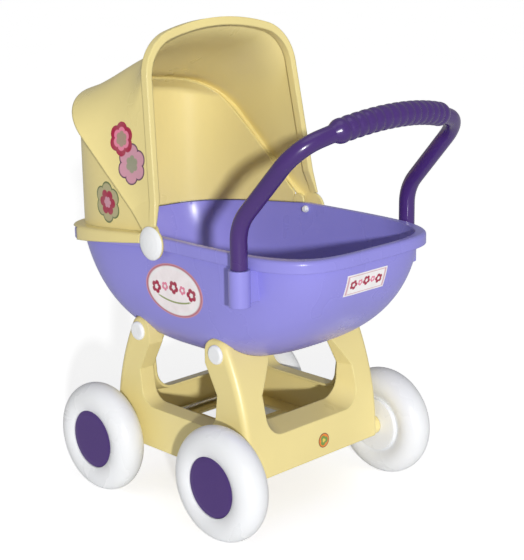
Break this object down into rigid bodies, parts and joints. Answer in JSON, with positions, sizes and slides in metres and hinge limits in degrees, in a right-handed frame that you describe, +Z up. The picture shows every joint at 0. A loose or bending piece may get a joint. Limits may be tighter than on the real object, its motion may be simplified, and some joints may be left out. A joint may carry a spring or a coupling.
{
  "type": "doll stroller",
  "caption": "Toy doll pram with a boat-shaped tub, two-part hood with tilting visor, bow handle with ribbed grip, open tray chassis and hollow wheels.",
  "frame": {"origin": "centre of the bounding box in plan, at floor level", "axes": "+X from the hood end to the handle end, +Y to the pusher's right when facing the hood, +Z up"},
  "size_m": [0.4505, 0.3084, 0.5487],
  "materials": {
    "cream_plastic": "smooth moulded",
    "lilac_plastic": "smooth moulded",
    "purple_plastic": "smooth moulded",
    "white_plastic": "slightly milky moulded",
    "steel": "bright drawn",
    "label_print": "printed film"
  },
  "bodies": {
    "frame": {"tub": "lilac_plastic", "hood_rear_shell": "cream_plastic", "handle": "purple_plastic", "chassis": "cream_plastic", "axle_rear": "steel", "axle_front": "steel", "axle_push_nuts": "steel", "leg_pins": "white_plastic", "hood_knob_left": "white_plastic", "hood_pin_clip_left": "white_plastic", "tub_label_left": "label_print", "shell_flower_left": "label_print", "hood_knob_right": "white_plastic", "hood_pin_clip_right": "white_plastic", "tub_label_right": "label_print", "shell_flower_right": "label_print", "foot_label": "label_print", "chassis_badge": "label_print"},
    "visor": {"hood_visor": "cream_plastic", "visor_flowers_right": "label_print", "visor_flowers_left": "label_print"},
    "wheel_front_left": {"wheel_front_left": "white_plastic", "hub_disc_front_left": "purple_plastic"},
    "wheel_front_right": {"wheel_front_right": "white_plastic", "hub_disc_front_right": "purple_plastic"},
    "wheel_rear_left": {"wheel_rear_left": "white_plastic", "hub_disc_rear_left": "purple_plastic"},
    "wheel_rear_right": {"wheel_rear_right": "white_plastic", "hub_disc_rear_right": "purple_plastic"}
  },
  "joints": [
    {"name": "visor_tilt", "type": "hinge", "parent": "frame", "child": "visor", "pos_m": [-0.0265, 0, 0.313], "axis": [0, 1, 0], "range_deg": [0, 40]},
    {"name": "wheel_front_left_spin", "type": "hinge", "parent": "frame", "child": "wheel_front_left", "pos_m": [-0.1223, -0.1347, 0.065], "axis": [0, 1, 0], "continuous": true},
    {"name": "wheel_front_right_spin", "type": "hinge", "parent": "frame", "child": "wheel_front_right", "pos_m": [-0.1223, 0.1347, 0.065], "axis": [0, 1, 0], "continuous": true},
    {"name": "wheel_rear_left_spin", "type": "hinge", "parent": "frame", "child": "wheel_rear_left", "pos_m": [0.0843, -0.1347, 0.065], "axis": [0, 1, 0], "continuous": true},
    {"name": "wheel_rear_right_spin", "type": "hinge", "parent": "frame", "child": "wheel_rear_right", "pos_m": [0.0843, 0.1347, 0.065], "axis": [0, 1, 0], "continuous": true}
  ]
}
